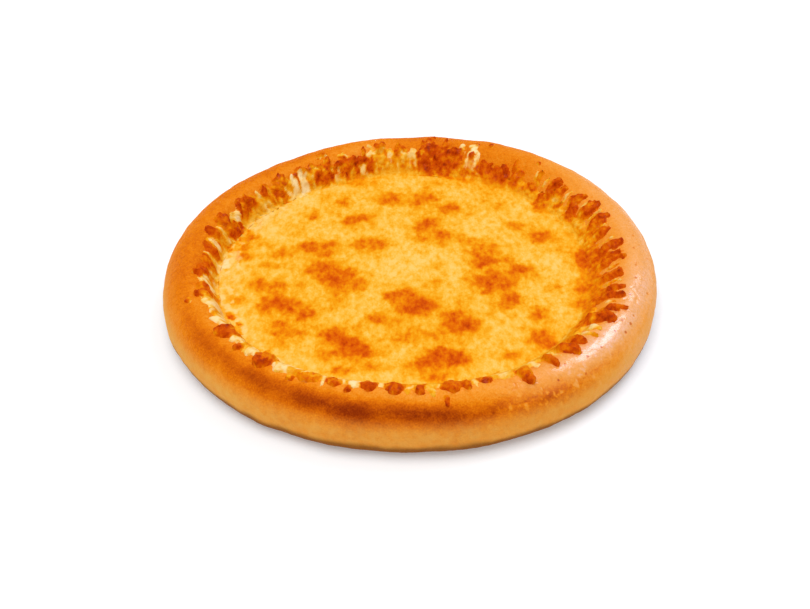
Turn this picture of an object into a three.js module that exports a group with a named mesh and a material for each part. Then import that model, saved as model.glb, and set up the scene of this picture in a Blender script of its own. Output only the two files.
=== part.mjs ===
// A cheese pizza: one piece of dough with a thick rolled rim, and the melted cheese that lies in
// it and climbs the rim in browned crags. Millimetres, +Z up, origin at the centre of the underside.
// Azimuth 0 is +X and 90 is +Y, seen from above.

import * as THREE from 'three';
import { SimplexNoise } from 'three/addons/math/SimplexNoise.js';

// ---- Driving dimensions ----------------------------------------------------------------------

const OUTER_RADIUS = 140;
const RIM_HEIGHT = 31;
const WIDEST_HEIGHT = 12;
const FOOT_INSET = 9;
const CREST_INSET = 16;
const BED_HEIGHT = 11.5;
const CHEESE_LEVEL = 17.5;
const CLEARANCE = 0.7;

// How far the inner slope of the rim runs in from the crest, and how that leans with azimuth. The
// slope is gentle on the right, and steep at its foot and level at its top on the left.
const SLOPE_RUN = { mean: 19.5, right: 5.5, far: 1.5 };
const FOOT_STEEPNESS = 3;

// Slow unevenness of the outline: the amplitude of each wave round the rim, in millimetres.
const OUTLINE_WAVES = [
  { turns: 2, sine: 1.9, cosine: 0 },
  { turns: 3, sine: -0.34, cosine: -0.85 },
  { turns: 4, sine: 0, cosine: -0.2 },
  { turns: 5, sine: 0.28, cosine: 0 },
];
const CREST_WAVES = [
  { turns: 3, sine: 0.3, cosine: -0.2 },
  { turns: 7, sine: 0.2, cosine: 0.25 },
];

// The cheese's film on the rim, and the swells of its flat top.
const FILM_THICKNESS = 1.6;
const LEVEL_BLEND = 1.4;
const SWELL_HEIGHT = 0.5;
const SWELL_LENGTH = 34;

// Between two crags the cheese stops this far up the slope: 0 is its foot and 1 the crest.
const VALLEY_REACH = 0.68;
const HIGHEST_REACH = 0.98;

// The browned crags, round the rim from azimuth 0: azimuth and half width in degrees, then how far
// out the tip lies and how high the crag stands off the slope, in millimetres.
const CRAGS = [
  [1, 1.8, 119, 2.5], [4.8, 1.8, 121, 2.5], [13, 2, 116.5, 2.2], [18, 2, 120.5, 3],
  [25, 1.8, 121.5, 3], [30, 1.8, 114, 2.5], [32.5, 1.8, 118.5, 2.5], [37, 1.8, 118, 2],
  [41.3, 2.2, 119.5, 3], [47, 2, 118, 1.5], [57, 6, 116, 1.8], [66, 2.5, 115, 1.5],
  [72, 2.5, 122, 2], [81, 7.5, 119, 3.2], [79.5, 1.8, 123, 2.5], [84, 1.8, 124, 3.6],
  [93.5, 2, 119, 2.2], [99.5, 2, 120.5, 2], [104.5, 2.5, 117.5, 3], [111.5, 4, 115.5, 3],
  [117.5, 2.4, 119.5, 2.5], [124, 2, 115, 1.5], [128, 1.8, 115.5, 2], [135.5, 3, 116, 2.2],
  [141.3, 2.4, 115.5, 2.6], [149.5, 3, 116, 2.4], [161, 3.4, 119, 3], [169, 2.4, 120, 2.5],
  [174.8, 1.8, 118, 2], [180, 2.5, 118, 2.4], [188, 2.8, 123, 2.6], [197, 3, 123, 2.4],
  [207, 2, 121.5, 1.5], [216.5, 3, 124, 2.6], [222.5, 1.8, 124, 2], [231.5, 2.8, 124, 2.6],
  [240.5, 1.8, 124, 1.5], [245, 3.4, 124, 1.8], [251, 2, 124, 2.4], [254.6, 1.8, 124, 1.5],
  [259.3, 2, 124, 2.8], [265, 2.6, 124, 2.8], [271, 1.8, 124, 2.4], [279, 3, 124, 2.6],
  [283, 1.8, 123, 2.4], [288.5, 1.8, 122, 2], [297.5, 2.2, 124, 2.6], [306, 2, 124, 2.4],
  [312.5, 2.2, 124, 2.6], [317, 1.8, 122, 2.4], [328.5, 2.5, 124, 2.6], [333.5, 1.8, 122.5, 2.4],
  [340, 1.8, 121, 2.4], [344, 1.8, 120.5, 2.4], [351, 2.5, 118.5, 2.2], [357.5, 2, 119, 2.4],
];

// Fineness: steps round the rim, and the stations along each stretch of the section.
const AZIMUTH_STEPS = 240;
const BED_STATIONS = [0.5, 1];
const SLOPE_STATIONS = [0.2, 0.45, 0.7, 1];
const OUTER_WALL_STATIONS = [0.25, 0.5, 0.75, 1];
const FOOT_STATIONS = [0.34, 0.67, 1];
const CHEESE_TOP_STATIONS = [0.25, 0.5, 0.75, 1];
const CHEESE_EDGE_STATIONS = [0.2, 0.4, 0.6, 0.8, 1];
const CHEESE_UNDER_STATIONS = [1, 0.98, 0.6, 0.3, 0];

// Colours from the photo, on two dielectric materials.
const DOUGH_FINISH = { color: 0xe08a35, roughness: 0.5, metalness: 0 };
const CHEESE_FINISH = { color: 0xf8b03a, roughness: 0.4, metalness: 0 };

// ---- The form, as functions of azimuth and radius --------------------------------------------

/** The sum of a list of waves at one azimuth. */
function wavesAt(waves, azimuth) {
  return waves.reduce((sum, { turns, sine, cosine }) =>
    sum + sine * Math.sin(turns * azimuth) + cosine * Math.cos(turns * azimuth), 0);
}

/** Outer radius of the crust at its widest. */
function outerRadius(azimuth) {
  return OUTER_RADIUS + wavesAt(OUTLINE_WAVES, azimuth);
}

/** Radius of the crest of the rim. */
function crestRadius(azimuth) {
  return outerRadius(azimuth) - CREST_INSET;
}

/** Height of the crest of the rim. */
function crestHeight(azimuth) {
  return RIM_HEIGHT + wavesAt(CREST_WAVES, azimuth);
}

/** Radius at which the flat bed ends and the inner slope of the rim starts. */
function slopeFootRadius(azimuth) {
  const lean = SLOPE_RUN.right * Math.cos(azimuth) + SLOPE_RUN.far * Math.sin(azimuth);
  return crestRadius(azimuth) - SLOPE_RUN.mean - lean;
}

/** Radius at a share of the way up the slope: 0 is its foot and 1 the crest. */
function slopeRadius(azimuth, share) {
  return THREE.MathUtils.lerp(slopeFootRadius(azimuth), crestRadius(azimuth), share);
}

/** How steep and then level the slope is, from 0 on the right to 1 on the left. */
function bulge(azimuth) {
  return (1 - Math.cos(azimuth)) / 2;
}

/** Height of the dough's upper face at a share of the way up the slope. */
function slopeHeight(azimuth, share) {
  const gentle = Math.sin(share * Math.PI / 2);
  const bulged = 1 - (1 - share) ** FOOT_STEEPNESS;
  const rise = crestHeight(azimuth) - BED_HEIGHT;
  return BED_HEIGHT + rise * THREE.MathUtils.lerp(gentle, bulged, bulge(azimuth));
}

/** The upright depth of a layer on the slope whose thickness is measured square to it. */
function uprightDepth(azimuth, share, thickness) {
  if (share <= 0) return thickness;
  const gentle = Math.cos(share * Math.PI / 2) * Math.PI / 2;
  const bulged = FOOT_STEEPNESS * (1 - share) ** (FOOT_STEEPNESS - 1);
  const rise = crestHeight(azimuth) - BED_HEIGHT;
  const run = crestRadius(azimuth) - slopeFootRadius(azimuth);
  const steepness = rise / run * THREE.MathUtils.lerp(gentle, bulged, bulge(azimuth));
  return thickness * Math.hypot(1, steepness);
}

/** How far up the slope the cheese reaches at an azimuth, and how thick its crags stand there. */
function cragAt(azimuth) {
  const degrees = THREE.MathUtils.radToDeg(azimuth);
  let reach = VALLEY_REACH;
  let lift = 0;
  for (const [centre, halfWidth, tipRadius, height] of CRAGS) {
    const offset = THREE.MathUtils.euclideanModulo(degrees - centre + 180, 360) - 180;
    if (Math.abs(offset) < halfWidth) {
      const weight = Math.cos(offset / halfWidth * Math.PI / 2);
      const run = crestRadius(azimuth) - slopeFootRadius(azimuth);
      const tip = Math.min(HIGHEST_REACH, (tipRadius - slopeFootRadius(azimuth)) / run);
      reach = Math.max(reach, THREE.MathUtils.lerp(VALLEY_REACH, tip, weight));
      lift = Math.max(lift, height * weight);
    }
  }
  return { reach, lift };
}

/** A maximum with a rounded corner. */
function softMax(a, b, blend) {
  return (a + b + Math.hypot(a - b, blend)) / 2;
}

/** A seeded source of numbers, so that each build gives the same swells. */
function seededRandom(seed) {
  let state = seed;
  return { random: () => (state = (state * 16807) % 2147483647) / 2147483647 };
}

const swellNoise = new SimplexNoise(seededRandom(11));

/** The flat top of the cheese, with its low swells. */
function cheeseLevel(azimuth, radius) {
  const x = radius * Math.cos(azimuth) / SWELL_LENGTH;
  const y = radius * Math.sin(azimuth) / SWELL_LENGTH;
  return CHEESE_LEVEL + SWELL_HEIGHT * swellNoise.noise(x, y);
}

/** Height of the cheese's upper face on the slope, where it thickens into a crag and thins out. */
function cheeseSlopeHeight(azimuth, share) {
  const { reach, lift } = cragAt(azimuth);
  const along = share / reach;
  const swelling = lift * Math.sin(Math.PI * Math.min(1, along) ** 2.2);
  const film = slopeHeight(azimuth, share) + swelling
    + uprightDepth(azimuth, share, FILM_THICKNESS);
  return softMax(film, cheeseLevel(azimuth, slopeRadius(azimuth, share)), LEVEL_BLEND);
}

// ---- Solids ----------------------------------------------------------------------------------

/** One ring of points round the pizza. section gives [radius, height] at an azimuth. */
function ring(section) {
  return Array.from({ length: AZIMUTH_STEPS }, (_, step) => {
    const azimuth = step / AZIMUTH_STEPS * 2 * Math.PI;
    const [radius, height] = section(azimuth);
    return [radius * Math.cos(azimuth), radius * Math.sin(azimuth), height];
  });
}

/** A closed solid through rings that run from the middle of the top round to that of the underside. */
function solidThroughRings(topHeight, rings, bottomHeight) {
  const positions = [[0, 0, topHeight], ...rings.flat(), [0, 0, bottomHeight]];
  const corner = (ringIndex, step) => 1 + ringIndex * AZIMUTH_STEPS + step % AZIMUTH_STEPS;
  const last = positions.length - 1;
  const faces = [];
  for (let step = 0; step < AZIMUTH_STEPS; step += 1) {
    faces.push(0, corner(0, step), corner(0, step + 1));
    for (let index = 0; index < rings.length - 1; index += 1) {
      const [a, b] = [corner(index, step), corner(index, step + 1)];
      const [c, d] = [corner(index + 1, step + 1), corner(index + 1, step)];
      faces.push(a, d, c, a, c, b);
    }
    faces.push(last, corner(rings.length - 1, step + 1), corner(rings.length - 1, step));
  }
  const geometry = new THREE.BufferGeometry();
  geometry.setAttribute('position', new THREE.Float32BufferAttribute(positions.flat(), 3));
  geometry.setIndex(faces);
  geometry.computeVertexNormals();
  return geometry;
}

/** A named mesh with a material of its own. */
function piece(name, geometry, finish) {
  const mesh = new THREE.Mesh(geometry, new THREE.MeshStandardMaterial(finish));
  mesh.name = name;
  return mesh;
}

/** The dough: a flat bed, the inner slope, the crest, the round outer wall and the flat underside. */
function makeDough() {
  const bed = BED_STATIONS.map((share) =>
    ring((azimuth) => [slopeFootRadius(azimuth) * share, BED_HEIGHT]));
  const slope = SLOPE_STATIONS.map((share) =>
    ring((azimuth) => [slopeRadius(azimuth, share), slopeHeight(azimuth, share)]));
  const outerWall = OUTER_WALL_STATIONS.map((share) => ring((azimuth) => [
    crestRadius(azimuth) + CREST_INSET * Math.sin(share * Math.PI / 2),
    WIDEST_HEIGHT + (crestHeight(azimuth) - WIDEST_HEIGHT) * Math.cos(share * Math.PI / 2),
  ]));
  const foot = FOOT_STATIONS.map((share) => ring((azimuth) => [
    outerRadius(azimuth) - FOOT_INSET * (1 - Math.cos(share * Math.PI / 2)),
    WIDEST_HEIGHT * (1 - Math.sin(share * Math.PI / 2)),
  ]));
  return piece('dough', solidThroughRings(BED_HEIGHT, [...bed, ...slope, ...outerWall, ...foot], 0),
    DOUGH_FINISH);
}

/** The cheese: a flat melted layer whose edge climbs the slope, thick in crags and thin between. */
function makeCheese() {
  const top = CHEESE_TOP_STATIONS.map((share) => ring((azimuth) => {
    const radius = slopeFootRadius(azimuth) * share;
    return [radius, share < 1 ? cheeseLevel(azimuth, radius) : cheeseSlopeHeight(azimuth, 0)];
  }));
  const edge = CHEESE_EDGE_STATIONS.map((along) => ring((azimuth) => {
    const share = cragAt(azimuth).reach * along;
    return [slopeRadius(azimuth, share), cheeseSlopeHeight(azimuth, share)];
  }));
  const under = CHEESE_UNDER_STATIONS.map((along) => ring((azimuth) => {
    const share = along < 1 ? VALLEY_REACH * along : cragAt(azimuth).reach;
    const gap = uprightDepth(azimuth, share, CLEARANCE);
    return [slopeRadius(azimuth, share), slopeHeight(azimuth, share) + gap];
  }));
  const solid = solidThroughRings(cheeseLevel(0, 0), [...top, ...edge, ...under],
    BED_HEIGHT + CLEARANCE);
  return piece('cheese', solid, CHEESE_FINISH);
}

const pizza = new THREE.Group();
pizza.add(makeDough(), makeCheese());

export default pizza;
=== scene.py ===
"""A baked cheese pizza: a rolled dough rim round melted cheese, browned in patches and in crags.

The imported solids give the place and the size. Each is replaced by a finer piece of the same form:
the crust by a wrapped and moved grid, and the cheese by a round one whose edge breaks into crags.
Lengths are millimetres, but metres in the studio. Azimuths are degrees, with 0 at +X and 90 at +Y.
"""

from __future__ import annotations

import logging
import math
from collections.abc import Mapping, Sequence
from dataclasses import dataclass
from enum import Enum
from functools import partial
from typing import Any

import bmesh
import bpy
import numpy as np
from bmesh.types import BMEdge, BMesh, BMVert
from bpy.types import ID, Material, Node, NodeSocket, NodeTree, Object
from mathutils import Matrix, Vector

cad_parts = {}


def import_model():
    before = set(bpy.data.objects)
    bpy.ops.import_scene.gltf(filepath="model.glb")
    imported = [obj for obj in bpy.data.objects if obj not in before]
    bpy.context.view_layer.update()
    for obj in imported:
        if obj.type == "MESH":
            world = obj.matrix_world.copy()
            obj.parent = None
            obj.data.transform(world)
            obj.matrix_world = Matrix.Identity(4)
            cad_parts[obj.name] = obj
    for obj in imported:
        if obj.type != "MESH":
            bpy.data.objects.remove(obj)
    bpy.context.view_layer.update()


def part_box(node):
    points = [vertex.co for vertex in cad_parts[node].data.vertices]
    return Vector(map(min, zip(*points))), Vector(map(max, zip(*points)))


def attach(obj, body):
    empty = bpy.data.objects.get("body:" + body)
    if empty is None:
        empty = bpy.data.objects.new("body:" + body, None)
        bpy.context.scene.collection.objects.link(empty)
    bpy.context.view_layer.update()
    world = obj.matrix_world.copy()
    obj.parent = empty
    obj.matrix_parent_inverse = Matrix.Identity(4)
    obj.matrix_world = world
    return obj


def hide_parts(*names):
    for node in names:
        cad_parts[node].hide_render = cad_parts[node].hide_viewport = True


LOG = logging.getLogger("pizza")
MM = 0.001
WELD_REACH = 0.002 * MM
BODY = "root"
Array = np.ndarray
Ramp = tuple[tuple[float, str], ...]


def linear(hex_colour: str) -> tuple[float, float, float, float]:
    """Turns an sRGB hex colour into linear red, green, blue and alpha.

    Args:
        hex_colour: Six hex digits with a leading #.

    Returns:
        The colour as Blender's sockets take it.
    """
    channels = [int(hex_colour[i : i + 2], 16) / 255 for i in (1, 3, 5)]
    red, green, blue = (c / 12.92 if c <= 0.04045 else ((c + 0.055) / 1.055) ** 2.4 for c in channels)
    return red, green, blue, 1.0


def new_material(name: str) -> tuple[Material, NodeTree, Node]:
    """Makes a material.

    Args:
        name: Its name, which says what it is.

    Returns:
        The material, its node tree and its shader.
    """
    material = bpy.data.materials.new(name)
    material.use_nodes = True
    return material, material.node_tree, material.node_tree.nodes["Principled BSDF"]


def set_inputs(tree: NodeTree, node: Node, inputs: Mapping[str | int, Any]) -> None:
    """Gives each input socket of a node its value or its link.

    Args:
        tree: The node tree.
        node: The node.
        inputs: What each input socket gets: a value, or another node's output to link.
    """
    for name, value in inputs.items():
        if isinstance(value, NodeSocket):
            tree.links.new(value, node.inputs[name])
        else:
            node.inputs[name].default_value = value


def add_node(
    tree: NodeTree,
    kind: str,
    inputs: Mapping[str | int, Any] | None = None,
    output: str | int = 0,
    stops: Ramp = (),
    **settings: Any,
) -> NodeSocket:
    """Adds a node with its settings, values and links.

    Args:
        tree: The node tree that takes it.
        kind: The node's type name, without its prefix.
        inputs: What each input socket gets.
        output: The output to give back.
        stops: Places and hex colours of a colour ramp.
        **settings: The node's own properties.

    Returns:
        That output of the new node.
    """
    node = tree.nodes.new("ShaderNode" + kind)
    for name, value in settings.items():
        setattr(node, name, value)
    set_inputs(tree, node, inputs or {})
    for index, (place, colour) in enumerate(stops):
        elements = node.color_ramp.elements
        element = elements[index] if index < 2 else elements.new(place)
        element.position = place
        element.color = linear(colour)
    return node.outputs[output]


def add_grain(
    tree: NodeTree,
    place: NodeSocket,
    value: NodeSocket,
    grains: Sequence[tuple[float, float]],
    detail: float,
) -> tuple[NodeSocket, list[NodeSocket]]:
    """Varies a value with noise of several sizes.

    Args:
        tree: The node tree.
        place: The coordinates of the noise.
        value: The value to vary.
        grains: Size in millimetres and strength of each noise.
        detail: How many finer layers each noise has.

    Returns:
        The varied value, and each noise by itself, around a half.
    """
    add = partial(add_node, tree)
    noises = []
    for size, strength in grains:
        settings = {"Vector": place, "Scale": 1 / (size * MM), "Detail": detail, "Roughness": 0.6}
        noises.append(add("TexNoise", settings, "Fac"))
        swing = add("Math", {0: noises[-1], 1: 0.5}, operation="SUBTRACT")
        value = add("Math", {0: swing, 1: strength, 2: value}, operation="MULTIPLY_ADD")
    return value, noises


class GradientNoise:
    """Smooth seeded noise for whole arrays of points."""

    LATTICE = 256
    GAIN = 1.7
    OCTAVE_SHIFT = 37.0

    def __init__(self, seed: int) -> None:
        """Draws the lattice's directions.

        Args:
            seed: The seed of the draw.
        """
        draw = np.random.default_rng(seed)
        self.order = np.tile(draw.permutation(self.LATTICE), 3)
        directions = draw.normal(size=(self.LATTICE, 3))
        self.directions = directions / np.linalg.norm(directions, axis=1, keepdims=True)

    def at(self, points: Array, wavelength: float) -> Array:
        """Gives the noise at each point.

        Args:
            points: Places in millimetres, three to a row.
            wavelength: Size of the swells in millimetres.

        Returns:
            One value a point, about -1 to 1.
        """
        scaled = points / wavelength
        cell = np.floor(scaled).astype(int)
        inside = scaled - cell
        blend = inside**3 * (inside * (inside * 6 - 15) + 10)
        total = np.zeros(len(points))
        for corner in np.ndindex(2, 2, 2):
            step = np.array(corner)
            at = (cell + step) % self.LATTICE
            pick = self.order[self.order[self.order[at[:, 0]] + at[:, 1]] + at[:, 2]]
            slope = np.einsum("ij,ij->i", self.directions[pick], inside - step)
            total += slope * np.prod(np.where(step, blend, 1 - blend), axis=1)
        return total * self.GAIN

    def fractal(self, points: Array, wavelength: float, octaves: int) -> Array:
        """Adds up noise of ever finer swells, each half as strong as the last."""
        return sum(self.at(points + self.OCTAVE_SHIFT * i, wavelength / 2**i) / 2**i for i in range(octaves))


@dataclass(frozen=True)
class Ripple:
    """A pattern of noise: the size of its swells in millimetres, its octaves and its strength.

    The shift moves it off the patterns like it, and the squash is how flat its swells are.
    """

    size: float
    octaves: int
    strength: float = 1.0
    shift: float = 0.0
    squash: float = 1.0

    def at(self, noise: GradientNoise, points: Array) -> Array:
        """Gives the pattern's value at each point."""
        places = points * (1, 1, self.squash) + self.shift
        return self.strength * noise.fractal(places, self.size, self.octaves)


def smooth(low: float, high: float, value: Array) -> Array:
    """Rises smoothly from 0 where value is low to 1 where it is high."""
    share = np.clip((value - low) / (high - low), 0, 1)
    return share * share * (3 - 2 * share)


def within(value: Array, edges: tuple[float, float, float, float]) -> Array:
    """Rises smoothly from 0 to 1 between the first two edges, and falls back between the others."""
    return smooth(edges[0], edges[1], value) * (1 - smooth(edges[2], edges[3], value))


def bell(value: Array, centre: Array | float, width: float) -> Array:
    """Falls smoothly from 1 on both sides of a centre."""
    return np.exp(-(((value - centre) / width) ** 2))


def turn_between(azimuth: Array, centre: float) -> Array:
    """Gives the signed turn in degrees from a centre to each azimuth, from -180 to 180."""
    return (azimuth - centre + 180) % 360 - 180


@dataclass(frozen=True)
class Rim:
    """A value that changes with azimuth, set at a few places round the rim."""

    places: tuple[tuple[float, float], ...]

    def at(self, azimuth: Array) -> Array:
        """Gives the value at each azimuth, smoothly between the places.

        Args:
            azimuth: The azimuths.

        Returns:
            A value for each.
        """
        angles, values = np.array(self.places, dtype=float).T
        angles = np.concatenate([angles - 360, angles, angles + 360])
        values = np.tile(values, 3)
        turn = azimuth % 360
        after = np.searchsorted(angles, turn, side="right")
        share = smooth(angles[after - 1], angles[after], turn)
        return values[after - 1] * (1 - share) + values[after] * share


def spokes(azimuth: Array) -> Array:
    """Gives the level unit vector that points outwards at each azimuth."""
    angle = np.radians(azimuth)
    return np.column_stack([np.cos(angle), np.sin(angle), np.zeros_like(angle)])


@dataclass(frozen=True)
class PizzaForm:
    """The pizza's main form, as the solids have it: the rim's section and its slow unevenness."""

    outer_radius: float
    rim_height: float
    widest_height: float = 12.0
    foot_inset: float = 9.0
    crest_inset: float = 16.0
    bed_height: float = 11.5
    cheese_level: float = 17.5
    slope_run: float = 19.5
    slope_run_right: float = 5.5
    slope_run_far: float = 1.5
    foot_steepness: float = 3.0
    crest_swell: float = 0.68
    outline_waves: tuple[tuple[int, float, float], ...] = (
        (2, 1.9, 0.0), (3, -0.34, -0.85), (4, 0.0, -0.2), (5, 0.28, 0.0),
    )
    crest_waves: tuple[tuple[int, float, float], ...] = ((3, 0.3, -0.2), (7, 0.2, 0.25))

    @classmethod
    def from_frame(cls) -> PizzaForm:
        """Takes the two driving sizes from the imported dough.

        Returns:
            The form.
        """
        low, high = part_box("dough")
        width = (high.x - low.x + high.y - low.y) / 2
        return cls(outer_radius=width / 2 / MM, rim_height=high.z / MM - cls.crest_swell)

    @staticmethod
    def waves(table: tuple[tuple[int, float, float], ...], azimuth: Array) -> Array:
        """Adds up waves round the rim, each given as turns, sine and cosine amplitude."""
        angle = np.radians(azimuth)
        return sum(s * np.sin(n * angle) + c * np.cos(n * angle) for n, s, c in table)

    def crest_radius(self, azimuth: Array) -> Array:
        """Radius of the rim's crest."""
        return self.outer_radius + self.waves(self.outline_waves, azimuth) - self.crest_inset

    def crest_height(self, azimuth: Array) -> Array:
        """Height of the rim's crest."""
        return self.rim_height + self.waves(self.crest_waves, azimuth)

    def slope_foot(self, azimuth: Array) -> Array:
        """Radius where the flat bed ends and the rim's inner slope starts.

        Args:
            azimuth: Where round the rim.

        Returns:
            The radius at each azimuth.
        """
        angle = np.radians(azimuth)
        lean = self.slope_run_right * np.cos(angle) + self.slope_run_far * np.sin(angle)
        return self.crest_radius(azimuth) - self.slope_run - lean

    def top_height(self, azimuth: Array, radius: Array) -> Array:
        """Height of the dough's upper face: bed, inner slope, crest and outer shoulder.

        Args:
            azimuth: Azimuth of each place.
            radius: Radius of each place.

        Returns:
            The height at each place.
        """
        foot, crest = self.slope_foot(azimuth), self.crest_radius(azimuth)
        height = self.crest_height(azimuth)
        share = np.clip((radius - foot) / (crest - foot), 0, 1)
        bulge = (1 - np.cos(np.radians(azimuth))) / 2
        gentle, bulged = np.sin(share * np.pi / 2), 1 - (1 - share) ** self.foot_steepness
        inner = self.bed_height + (height - self.bed_height) * (gentle + (bulged - gentle) * bulge)
        beyond = np.clip((radius - crest) / self.crest_inset, 0, 1)
        outer = self.widest_height + (height - self.widest_height) * np.sqrt(1 - beyond**2)
        return np.where(radius <= crest, inner, outer)


def place_vertices(shape: BMesh, points: Array) -> None:
    """Moves a mesh's vertices to points given in millimetres, in the order of the vertices."""
    for vertex, point in zip(shape.verts, points * MM):
        vertex.co = point


def add_object(name: str, data: ID) -> Object:
    """Makes an object and puts it in the scene.

    Args:
        name: Its name.
        data: Its mesh, lamp or camera.

    Returns:
        The object, at the origin.
    """
    thing = bpy.data.objects.new(name, data)
    bpy.context.scene.collection.objects.link(thing)
    return thing


def finish_mesh(name: str, shape: BMesh, fields: Mapping[str, Array], merge: Sequence[int]) -> Object:
    """Closes a moved mesh, keeps its fields as attributes and makes it an object.

    Args:
        name: The piece's name.
        shape: The mesh, which this frees.
        fields: Values for each vertex, which the finish reads.
        merge: Indices of the vertices that meet at a seam or a pole.

    Returns:
        The new object, at the origin.
    """
    shape.verts.ensure_lookup_table()
    for label, values in fields.items():
        layer = shape.verts.layers.float.new(label)
        for vertex, value in zip(shape.verts, values):
            vertex[layer] = float(value)
    bmesh.ops.remove_doubles(shape, verts=[shape.verts[i] for i in merge], dist=WELD_REACH)
    bmesh.ops.recalc_face_normals(shape, faces=shape.faces)
    for face in shape.faces:
        face.smooth = True
    mesh = bpy.data.meshes.new(name)
    shape.to_mesh(mesh)
    shape.free()
    return add_object(name, mesh)


@dataclass(frozen=True)
class BakedDough:
    """White bread dough, baked with a little oil: a thin browned skin over a pale crumb.

    The bake field says how brown the skin is, from pale to dark, with painted light in it: a painted
    highlight on the glazed crest, and a paler right side and back inner slope. The glaze field says where
    oil has run onto it and shines, and where the oily skin has small burst bubbles. The flour field says
    where flour has dulled it, and the last field darkens the bottom edge: partly where it stood on the tray
    and partly painted shade under the rim.
    """

    roughness: float = 0.55
    specular: float = 0.03
    glaze_roughness: float = 0.2
    glaze_ior: float = 1.9
    # Size in millimetres and strength of the mottling, the grain and the finest flecks.
    grains: tuple[tuple[float, float], ...] = ((8.0, 0.16), (2.4, 0.27), (0.9, 0.4))
    grain_detail: float = 3.0
    bubble_spacing: float = 5.5
    bubble_core: float = 0.1
    bubble_rim: float = 0.2
    bubble_brown: float = 0.6
    bubble_depth: float = -2.0
    dry_grain: float = 0.4
    wet_grain: float = 0.55
    least_shine: float = 0.55
    bump_height: float = 0.9
    bump_of_grain: float = 1.6
    bump_strength: float = 0.5
    film_strength: float = 0.06
    # The palest, pinkish stop is reached mostly under the painted highlight on the glazed crest.
    bake_colours: Ramp = (
        (0.0, "#FAC0A0"), (0.1, "#F9B074"), (0.2, "#F7A650"), (0.35, "#F4982C"), (0.5, "#EC8208"),
        (0.62, "#DC6C02"), (0.75, "#C75800"), (0.88, "#AC4200"), (1.0, "#902E00"),
    )
    floury: str = "#EEAE50"
    # Colour of the bottom edge: partly browned on the tray, partly painted shade under the rim.
    tray_brown_and_shade: str = "#965A1C"

    def make(self) -> Material:
        """Builds the material, which reads the crust's four fields and object coordinates.

        Returns:
            The material.
        """
        material, tree, shader = new_material("baked_dough_skin")
        add = partial(add_node, tree)
        place = add("TexCoord", output="Object")
        fields = ("bake", "glaze", "flour", "shaded_heel")
        bake, glaze, flour, shaded_heel = (add("Attribute", output="Fac", attribute_name=f) for f in fields)
        browning, (_, grain, fine) = add_grain(tree, place, bake, self.grains, self.grain_detail)
        bubble = add("TexVoronoi", {"Vector": place, "Scale": 1 / (self.bubble_spacing * MM)}, "Distance")
        core, rim = self.bubble_core, self.bubble_rim
        burst = add("MapRange", {"Value": bubble, 1: core, 2: rim, 3: self.bubble_brown, 4: 0.0})
        burnt = add("Math", {0: burst, 1: glaze}, operation="MULTIPLY")
        browning = add("Math", {0: burnt, 1: browning}, operation="ADD")
        colour = add("ValToRGB", {"Fac": browning}, "Color", self.bake_colours)
        # The second mix darkens the bottom edge, partly tray browning and partly painted shade.
        for share, shade in ((flour, self.floury), (shaded_heel, self.tray_brown_and_shade)):
            colour = add("Mix", {0: share, 6: colour, 7: linear(shade)}, 2, data_type="RGBA")
        wet = add("MapRange", {"Value": grain, 1: self.dry_grain, 2: self.wet_grain, 3: self.least_shine})
        shine = add("Math", {0: wet, 1: glaze}, operation="MULTIPLY")
        relief = add("Math", {0: grain, 1: self.bump_of_grain, 2: fine}, operation="MULTIPLY_ADD")
        pitted = add("Math", {0: burnt, 1: self.bubble_depth, 2: relief}, operation="MULTIPLY_ADD")
        height = {"Height": pitted, "Distance": self.bump_height * MM}
        looks = {
            "Base Color": colour,
            "Roughness": self.roughness,
            "Specular IOR Level": self.specular,
            "Normal": add("Bump", {**height, "Strength": self.bump_strength}),
            "Coat Weight": shine,
            "Coat Roughness": self.glaze_roughness,
            "Coat IOR": self.glaze_ior,
            "Coat Normal": add("Bump", {**height, "Strength": self.film_strength}),
        }
        set_inputs(tree, shader, looks)
        return material


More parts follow.
